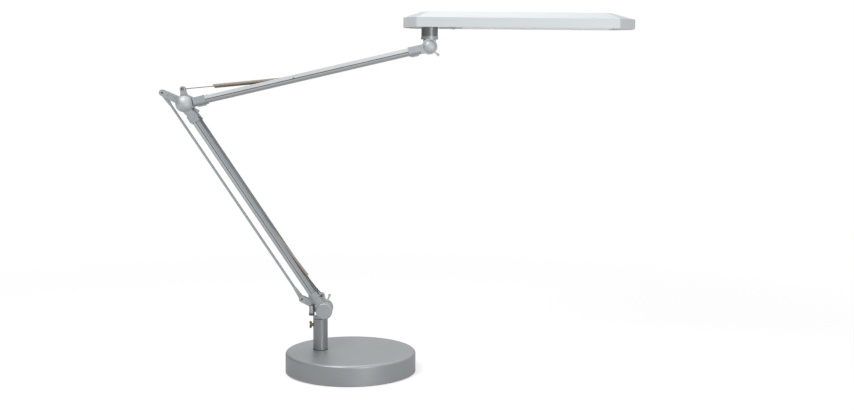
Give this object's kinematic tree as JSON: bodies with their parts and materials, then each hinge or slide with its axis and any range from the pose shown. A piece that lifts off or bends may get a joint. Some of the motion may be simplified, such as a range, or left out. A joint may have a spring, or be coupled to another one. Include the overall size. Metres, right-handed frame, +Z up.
{
  "type": "counterweight balance desk lamp",
  "caption": "Desk lamp with a round weighted base, two spring-balanced arms with a tie rod, and a long flat light head that tilts and swivels.",
  "frame": {"origin": "centre of the base's underside, on the surface that the lamp stands on", "axes": "+Z up; +X from the post towards the lamp head, along the plane of the arms; -Y is the front that the picture shows"},
  "size_m": [0.7168, 0.2, 0.5484],
  "materials": {
    "silver_paint": "satin silver-grey paint",
    "silver_cast": "satin silver paint on a die casting",
    "post_metal": "dark silver-grey satin",
    "arm_aluminium": "satin anodised extrusion",
    "turned_steel": "turned and plated",
    "weight_iron": "rough cast",
    "brass": "dull brass",
    "black_plastic": "black",
    "grey_plastic": "silver-grey moulded plastic",
    "foam": "black foam rubber",
    "sleeve": "beige woven sleeve",
    "opal": "opal acrylic",
    "board": "white circuit board"
  },
  "bodies": {
    "base": {"base_cover": "silver_paint", "base_weight": "weight_iron", "base_plate": "turned_steel", "base_screws": "turned_steel", "foot_pad": "foam", "post": "post_metal", "post_washer": "black_plastic", "post_bolt": "turned_steel", "post_bush": "black_plastic"},
    "thumb_screw": {"thumb_screw": "brass"},
    "base_knuckle": {"base_knuckle": "silver_cast", "base_ear_bush": "brass", "base_lever_pin": "brass", "base_axle": "turned_steel", "base_cap": "silver_cast", "base_washers": "black_plastic", "cord_inlet": "silver_cast", "inlet_nut": "turned_steel"},
    "base_knob": {"base_knob": "grey_plastic"},
    "lower_arm": {"lower_arm_profile": "arm_aluminium", "lower_elbow_socket": "silver_cast", "lower_base_socket": "silver_cast", "lower_rivets": "turned_steel", "lower_anchor_pin": "turned_steel"},
    "lower_spring": {"lower_spring_sleeve": "sleeve", "lower_spring_coil": "turned_steel"},
    "lower_hook": {"lower_spring_hook": "turned_steel"},
    "tie_rod": {"tie_rod": "turned_steel"},
    "elbow_bracket": {"elbow_bracket": "silver_cast", "elbow_ear_bush": "brass", "elbow_lever_pin": "brass", "elbow_axle": "turned_steel", "elbow_cap": "silver_cast", "elbow_washers": "black_plastic"},
    "elbow_knob": {"elbow_knob": "grey_plastic"},
    "upper_arm": {"upper_arm_profile": "arm_aluminium", "upper_elbow_socket": "silver_cast", "upper_head_socket": "silver_cast", "upper_rivets": "turned_steel", "upper_anchor_pin": "turned_steel", "upper_spring_sleeve": "sleeve", "upper_spring_coil": "turned_steel"},
    "upper_hook": {"upper_spring_hook": "turned_steel"},
    "head_knuckle": {"head_knuckle": "post_metal", "head_axle": "turned_steel", "head_cap": "silver_cast", "head_washers": "black_plastic"},
    "head_knob": {"head_knob": "grey_plastic"},
    "head": {"head_neck": "post_metal", "neck_nut": "turned_steel", "head_shell": "silver_paint", "head_frame": "silver_paint", "diffuser": "opal", "led_board": "board", "heat_spreader": "arm_aluminium", "led_driver": "board", "cover_screws": "turned_steel", "switch_frame": "black_plastic"},
    "rocker": {"rocker": "black_plastic"}
  },
  "joints": [
    {"name": "base_swivel", "type": "hinge", "parent": "base", "child": "base_knuckle", "pos_m": [-0.047, 0.0085, 0.08], "axis": [0, 0, 1], "range_deg": [-170, 170]},
    {"name": "thumb_screw_turn", "type": "hinge", "parent": "base", "child": "thumb_screw", "pos_m": [-0.047, 0.0085, 0.0702], "axis": [1, 0, 0], "continuous": true},
    {"name": "base_knob_turn", "type": "hinge", "parent": "base_knuckle", "child": "base_knob", "pos_m": [-0.0406, 0.0085, 0.0944], "axis": [0, 1, 0], "continuous": true},
    {"name": "lower_arm_tilt", "type": "hinge", "parent": "base_knuckle", "child": "lower_arm", "pos_m": [-0.0406, 0.0085, 0.0944], "axis": [0, -1, 0], "range_deg": [-25, 5]},
    {"name": "tie_rod_pivot", "type": "hinge", "parent": "base_knuckle", "child": "tie_rod", "pos_m": [-0.07504, 0.0085, 0.11046], "axis": [0, -1, 0], "range_deg": [-26, 6]},
    {"name": "lower_spring_pivot", "type": "hinge", "parent": "lower_arm", "child": "lower_spring", "pos_m": [-0.13155, 0.0085, 0.23207], "axis": [0, -1, 0], "range_deg": [-3.9, 0.9]},
    {"name": "lower_hook_slide", "type": "slide", "parent": "lower_spring", "child": "lower_hook", "axis": [0.6001, 0, -0.7999], "range_m": [-0.00238, 0.00064], "deforming": ["lower_spring_hook"]},
    {"name": "elbow_level", "type": "hinge", "parent": "lower_arm", "child": "elbow_bracket", "pos_m": [-0.24852, 0.0085, 0.40912], "axis": [0, -1, 0], "range_deg": [-6, 26]},
    {"name": "elbow_knob_turn", "type": "hinge", "parent": "elbow_bracket", "child": "elbow_knob", "pos_m": [-0.24852, 0.0085, 0.40912], "axis": [0, 1, 0], "continuous": true},
    {"name": "upper_arm_tilt", "type": "hinge", "parent": "elbow_bracket", "child": "upper_arm", "pos_m": [-0.24852, 0.0085, 0.40912], "axis": [0, -1, 0], "range_deg": [-15, 36]},
    {"name": "upper_hook_slide", "type": "slide", "parent": "upper_arm", "child": "upper_hook", "axis": [-0.9948, 0, -0.1016], "range_m": [-0.01375, 0.0059], "deforming": ["upper_spring_hook"]},
    {"name": "head_tilt", "type": "hinge", "parent": "upper_arm", "child": "head_knuckle", "pos_m": [0.11842, 0.0085, 0.49654], "axis": [0, -1, 0], "range_deg": [-55, 25]},
    {"name": "head_knob_turn", "type": "hinge", "parent": "head_knuckle", "child": "head_knob", "pos_m": [0.11842, 0.0085, 0.49654], "axis": [0, 1, 0], "continuous": true},
    {"name": "head_swivel", "type": "hinge", "parent": "head_knuckle", "child": "head", "pos_m": [0.11882, 0.0085, 0.49654], "axis": [0, 0, 1], "range_deg": [-90, 90]},
    {"name": "rocker_press", "type": "hinge", "parent": "head", "child": "rocker", "pos_m": [0.1485, 0.0085, 0.5291], "axis": [0, -1, 0], "range_deg": [0, 10]}
  ],
  "couplings": [
    {"joint": "tie_rod_pivot", "follows": "lower_arm_tilt", "ratio": 1},
    {"joint": "elbow_level", "follows": "lower_arm_tilt", "ratio": -1},
    {"joint": "lower_spring_pivot", "follows": "lower_arm_tilt", "ratio": 0.147},
    {"joint": "lower_hook_slide", "follows": "lower_arm_tilt", "m_per_rad": 0.005},
    {"joint": "upper_hook_slide", "follows": "upper_arm_tilt", "m_per_rad": -0.0214}
  ]
}
